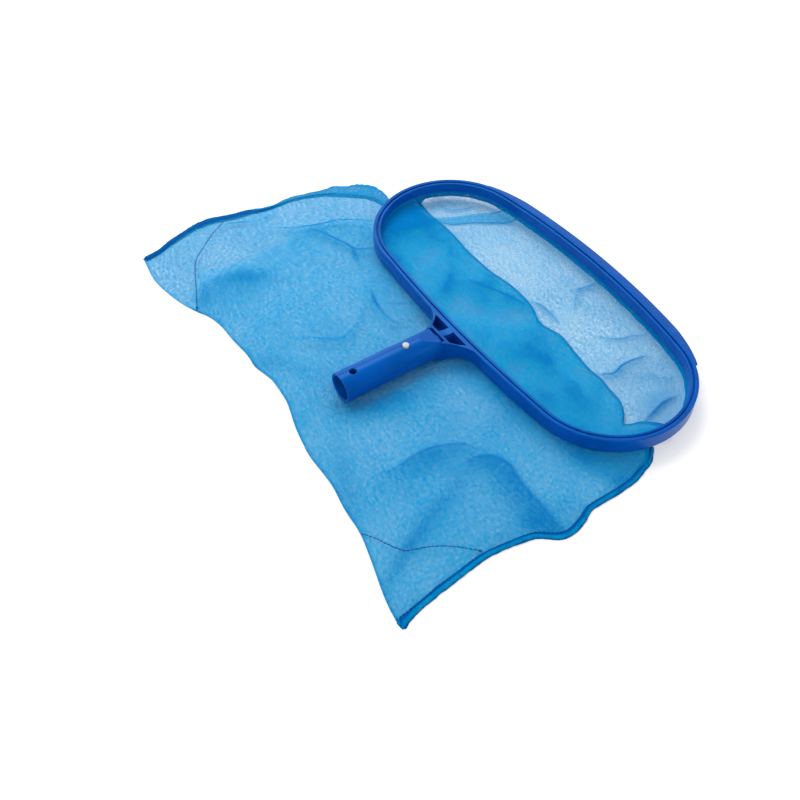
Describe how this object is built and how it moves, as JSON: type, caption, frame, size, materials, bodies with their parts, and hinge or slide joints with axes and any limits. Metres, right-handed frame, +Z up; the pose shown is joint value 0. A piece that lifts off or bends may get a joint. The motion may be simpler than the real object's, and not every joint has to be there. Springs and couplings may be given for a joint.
{
  "type": "leaf skimmer net",
  "caption": "Oval plastic hoop on a tubular spigot, with a deep mesh bag lying folded flat under it, for lifting leaves out of a pool.",
  "frame": {"origin": "centre of the spigot's mouth, on the spigot's axis", "axes": "+Y from the mouth along the spigot to the hoop, +X along the hoop's long axis, +Z up"},
  "size_m": [0.5324, 0.391, 0.0347],
  "materials": {
    "frame_plastic": "semi-gloss",
    "mesh_fabric": "fine open weave",
    "hem_fabric": "woven tape",
    "spring_steel": "plain",
    "button_plastic": "satin"
  },
  "bodies": {
    "net": {"hoop_frame": "frame_plastic", "spigot": "frame_plastic", "scoop_lip": "frame_plastic", "net_retainer": "frame_plastic", "hem_tape": "hem_fabric", "hem_cord": "hem_fabric", "bag_upper_layer": "mesh_fabric", "bag_lower_layer": "mesh_fabric", "side_seam_left": "hem_fabric", "side_seam_right": "hem_fabric", "corner_seam_left": "hem_fabric", "corner_seam_right": "hem_fabric", "spring_bow": "spring_steel"},
    "lock_arm_top": {"spring_arm_top": "spring_steel", "button_top": "button_plastic"},
    "lock_arm_bottom": {"spring_arm_bottom": "spring_steel", "button_bottom": "button_plastic"}
  },
  "joints": [
    {"name": "button_top_press", "type": "hinge", "parent": "net", "child": "lock_arm_top", "pos_m": [0, 0.031, 0.01051], "axis": [-1, 0, 0], "range_deg": [0, 3.44], "stiffness_Nm_per_rad": 6, "springref_deg": -1.72},
    {"name": "button_bottom_press", "type": "hinge", "parent": "net", "child": "lock_arm_bottom", "pos_m": [0, 0.031, -0.01051], "axis": [1, 0, 0], "range_deg": [0, 3.44], "stiffness_Nm_per_rad": 6, "springref_deg": -1.72}
  ]
}
